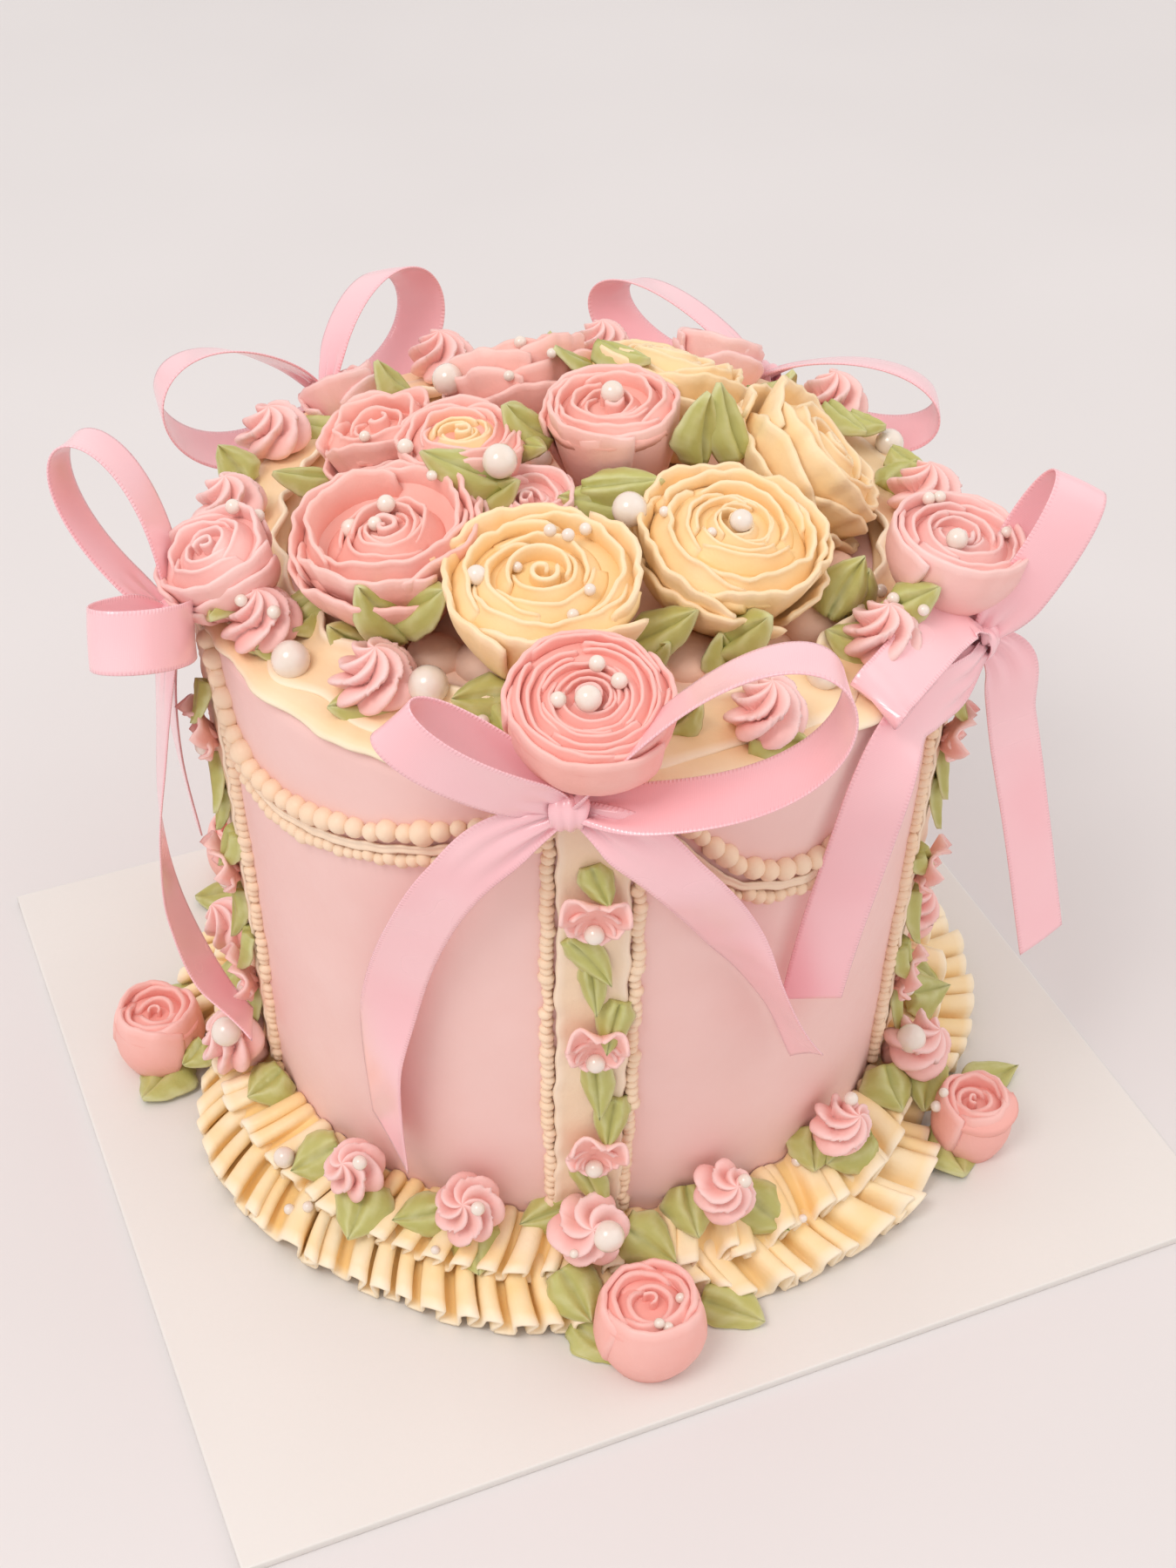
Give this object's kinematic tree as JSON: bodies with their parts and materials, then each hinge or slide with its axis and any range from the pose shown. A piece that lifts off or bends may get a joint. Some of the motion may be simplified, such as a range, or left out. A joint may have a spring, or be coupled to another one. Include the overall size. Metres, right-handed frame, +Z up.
{
  "type": "celebration cake",
  "caption": "Tall round celebration cake in smooth pale pink icing, with piped roses and rosettes, cream borders and columns, a pleated foot ruffle and satin bows, on its own cake board.",
  "frame": {"origin": "middle of the board's underside", "axes": "+Z up, +X along the board's long edge, -Y towards the front edge that faces the camera with the front column turned a little to the left of it"},
  "size_m": [0.254, 0.235, 0.1996],
  "materials": {
    "board": "smooth white coated card",
    "body_icing": "smooth pale pink buttercream, satin",
    "bed_icing": "soft pink icing in the shade under the roses",
    "cream_icing": "piped cream buttercream, satin",
    "pink_icing": "piped pink buttercream, satin",
    "ribbon": "glossy satin ribbon"
  },
  "bodies": {
    "root": {"board": "board", "cake_body": "body_icing", "rose_bed": "bed_icing", "top_border": "cream_icing", "base_ruffle": "cream_icing", "column_front": "cream_icing", "column_right": "cream_icing", "column_back_right": "cream_icing", "column_back_left": "cream_icing", "column_left": "cream_icing", "bow_front": "ribbon", "bow_right": "ribbon", "bow_back_right": "ribbon", "bow_back_left": "ribbon", "bow_left": "ribbon", "rim_rose_front": "pink_icing", "rim_rose_right": "pink_icing", "rim_rose_back_right": "pink_icing", "rim_rose_back_left": "pink_icing", "rim_rose_left": "pink_icing", "top_rose_a": "cream_icing", "top_rose_b": "cream_icing", "top_rose_c": "cream_icing", "top_rose_d": "cream_icing", "top_rose_e": "pink_icing", "top_rose_f": "pink_icing", "top_rose_g": "pink_icing", "top_rose_h": "pink_icing", "top_rose_i": "pink_icing", "foot_rose_front": "pink_icing", "foot_rose_right": "pink_icing", "foot_rose_back_right": "pink_icing", "foot_rose_back_left": "pink_icing", "foot_rose_left": "pink_icing", "foot_rosette_front": "pink_icing", "foot_rosette_right": "pink_icing", "foot_rosette_back_right": "pink_icing", "foot_rosette_back_left": "pink_icing", "foot_rosette_left": "pink_icing", "rim_rosette_1": "pink_icing", "rim_rosette_2": "pink_icing", "rim_rosette_3": "pink_icing", "rim_rosette_4": "pink_icing", "rim_rosette_5": "pink_icing", "rim_rosette_6": "pink_icing", "rim_rosette_7": "pink_icing", "rim_rosette_8": "pink_icing", "rim_rosette_9": "pink_icing", "rim_rosette_10": "pink_icing", "low_rosette_1": "pink_icing", "low_rosette_2": "pink_icing", "low_rosette_3": "pink_icing", "low_rosette_4": "pink_icing", "low_rosette_5": "pink_icing", "low_rosette_6": "pink_icing", "low_rosette_7": "pink_icing", "low_rosette_8": "pink_icing", "low_rosette_9": "pink_icing", "low_rosette_10": "pink_icing"}
  },
  "joints": []
}
